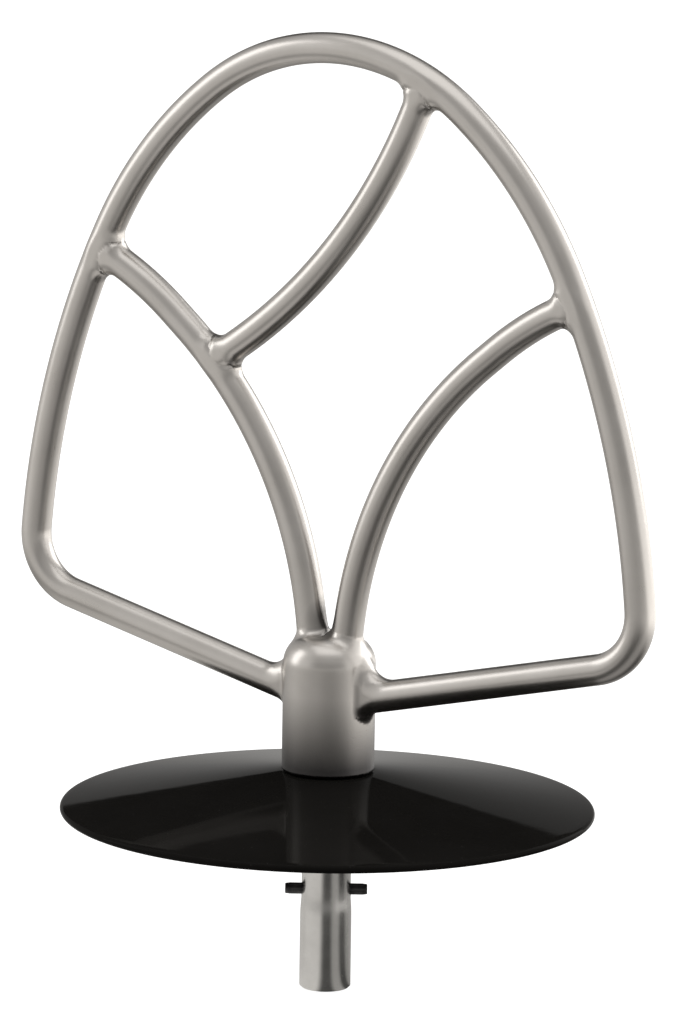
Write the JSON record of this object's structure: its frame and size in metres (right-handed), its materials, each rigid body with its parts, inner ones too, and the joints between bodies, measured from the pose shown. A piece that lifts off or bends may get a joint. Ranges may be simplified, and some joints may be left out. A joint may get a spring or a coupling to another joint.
{
  "type": "stand mixer flat beater",
  "caption": "Flat beater for a stand mixer: bent-rod loop with curved arms on a round hub, conical drip shield, pinned drive shank.",
  "frame": {"origin": "centre of the shank's free end face", "axes": "+Z along the shank from its tip towards the loop, X across the loop, Y square to the loop; the tool is stored loop up, and hangs the other way up in the mixer"},
  "size_m": [0.146, 0.104, 0.1872],
  "materials": {
    "satin_steel": "satin polished stainless steel",
    "turned_steel": "fine turned and polished stainless steel",
    "fastener_steel": "plain stainless fastener",
    "black_pin": "black oxide spring steel",
    "black_gloss": "glossy black",
    "black_plastic": "black acetal"
  },
  "bodies": {
    "shank": {"shank": "turned_steel", "drive_pin": "black_pin"},
    "carriage": {"shield_bush": "black_plastic"},
    "shield": {"splash_shield": "black_gloss"},
    "beater": {"hub": "satin_steel", "outer_loop": "satin_steel", "left_arm": "satin_steel", "right_arm": "satin_steel", "cross_arm": "satin_steel", "weld_crown": "satin_steel", "weld_hub_left": "satin_steel", "weld_hub_right": "satin_steel", "weld_left_arm": "satin_steel", "weld_right_arm": "satin_steel", "weld_cross_head": "satin_steel", "weld_cross_foot": "satin_steel"},
    "washer": {"lock_washer": "fastener_steel"},
    "nut": {"lock_nut": "fastener_steel"}
  },
  "joints": [
    {"name": "height_adjust", "type": "slide", "parent": "shank", "child": "carriage", "axis": [0, 0, 1], "range_m": [-0.003, 0.003]},
    {"name": "beater_turn", "type": "hinge", "parent": "carriage", "child": "beater", "pos_m": [0, 0, 0.0433], "axis": [0, 0, 1], "range_deg": [-720, 720]},
    {"name": "shield_spin", "type": "hinge", "parent": "carriage", "child": "shield", "pos_m": [0, 0, 0.042], "axis": [0, 0, 1], "continuous": true},
    {"name": "nut_backoff", "type": "slide", "parent": "beater", "child": "washer", "axis": [0, 0, -1], "range_m": [0, 0.0025]},
    {"name": "nut_turn", "type": "hinge", "parent": "washer", "child": "nut", "pos_m": [0, 0, 0.036], "axis": [0, 0, -1], "range_deg": [0, 600]}
  ],
  "couplings": [
    {"joint": "height_adjust", "follows": "beater_turn", "m_per_rad": 0.00023873},
    {"joint": "nut_backoff", "follows": "nut_turn", "m_per_rad": 0.00023873}
  ]
}
